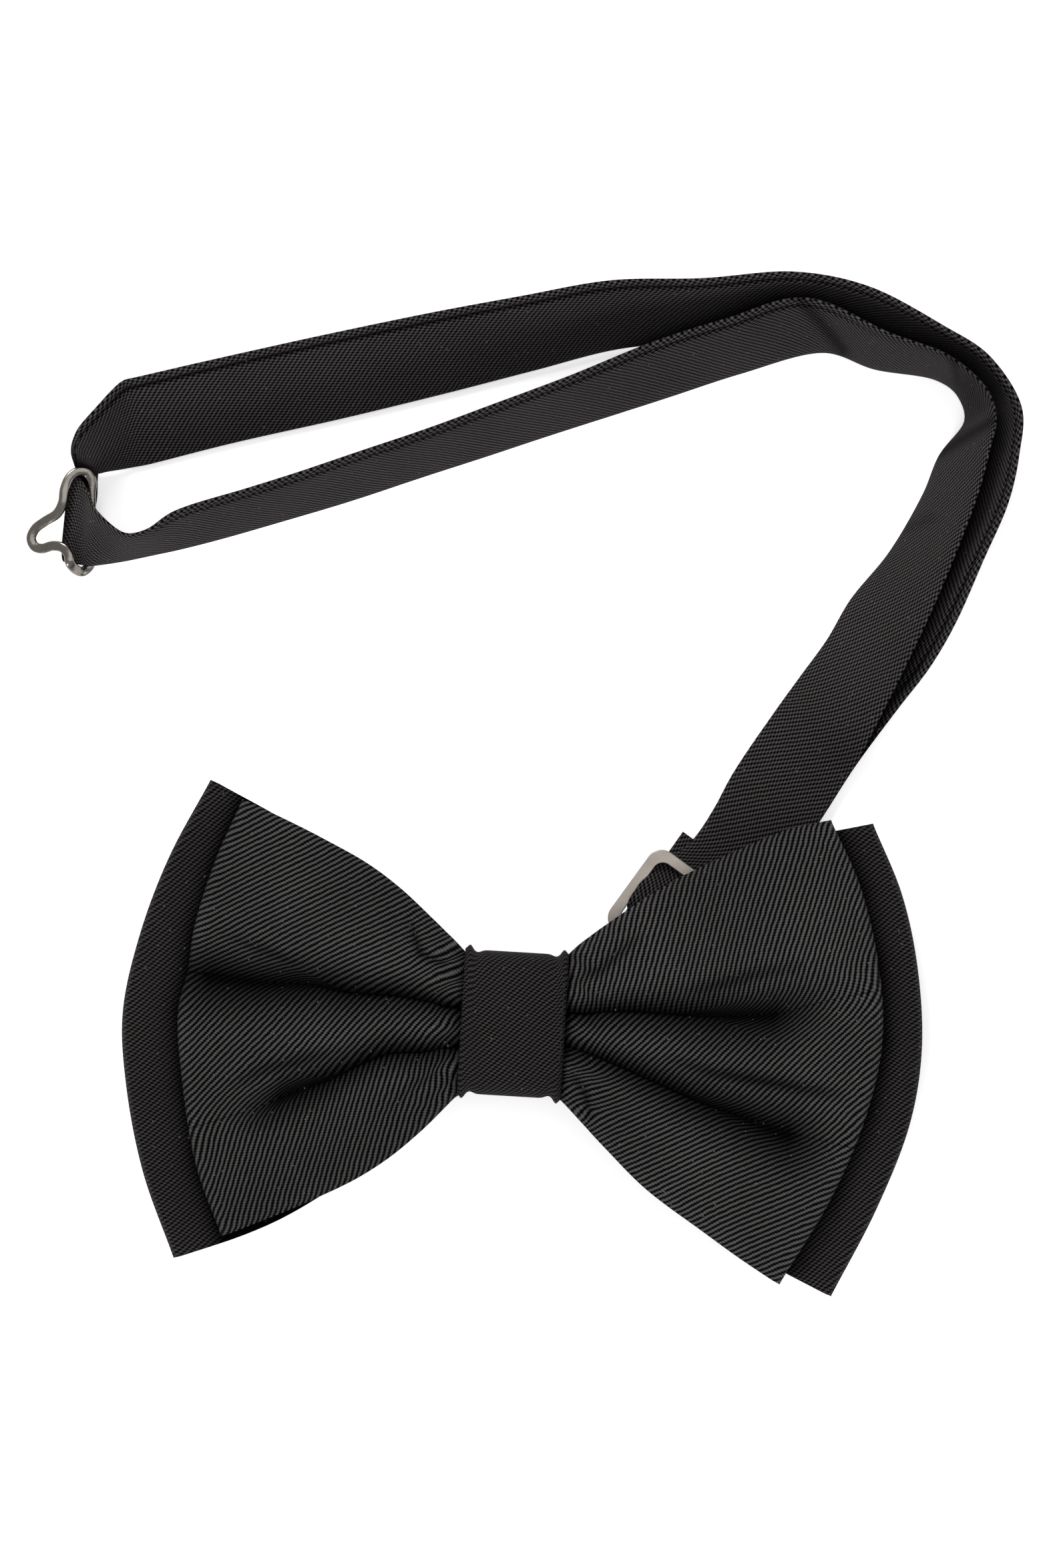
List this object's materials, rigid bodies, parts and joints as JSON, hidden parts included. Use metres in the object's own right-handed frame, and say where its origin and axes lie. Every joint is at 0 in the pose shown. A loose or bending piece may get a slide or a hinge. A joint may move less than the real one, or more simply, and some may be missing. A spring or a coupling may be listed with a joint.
{
  "type": "pre-tied bow tie",
  "caption": "Pre-tied double bow tie of black twill with a knot wrap and a doubled adjustable neckband with a slide, a hook and a catch eye.",
  "frame": {"origin": "centre of the bounding box, on the surface the tie lies on", "axes": "+Z out of the bow's front face, +Y towards the bend of the neckband, +X towards the wearer's left wing as seen from the front"},
  "size_m": [0.15, 0.1541, 0.0156],
  "materials": {
    "rib_twill": "bold diagonal twill, soft sheen",
    "plain_twill": "fine twill, matte",
    "interlining": "non-woven, matte",
    "thread": "polyester thread",
    "satin_nickel": "satin",
    "gunmetal": "polished"
  },
  "bodies": {
    "bow": {"front_bow_loop": "rib_twill", "front_bow_interlining": "interlining", "rear_bow_loop": "plain_twill", "rear_bow_interlining": "interlining", "knot_wrap": "plain_twill", "waist_binding_thread": "thread", "knot_padding": "interlining"},
    "band": {"neckband_tail": "plain_twill", "neckband_inner_start": "plain_twill"},
    "slide": {"slide_adjuster": "satin_nickel", "neckband_sewn_end": "plain_twill"},
    "loop": {"neckband_loop": "plain_twill"},
    "hook": {"hook": "gunmetal"},
    "eye": {"catch_eye": "gunmetal"}
  },
  "joints": [
    {"name": "band_swing", "type": "hinge", "parent": "bow", "child": "band", "pos_m": [-0.0016, -0.0367, 0.0006], "axis": [0, 0, 1], "range_deg": [-3, 15]},
    {"name": "slide_travel", "type": "slide", "parent": "band", "child": "slide", "axis": [0.5879, 0.8089, 0], "range_m": [0, 0.008]},
    {"name": "band_fold", "type": "hinge", "parent": "band", "child": "loop", "pos_m": [0.0438, 0.0065, 0.00245], "axis": [0.8464, -0.5325, 0], "range_deg": [0, 90]},
    {"name": "hook_pivot", "type": "hinge", "parent": "loop", "child": "hook", "pos_m": [-0.0658, 0.04, 0.0025], "axis": [0, 0.9929, 0.1191], "range_deg": [-2, 40]},
    {"name": "eye_pivot", "type": "hinge", "parent": "band", "child": "eye", "pos_m": [-0.0245, -0.0465, 0.0017], "axis": [-0.4472, 0.8944, 0], "range_deg": [-4, 20]}
  ]
}
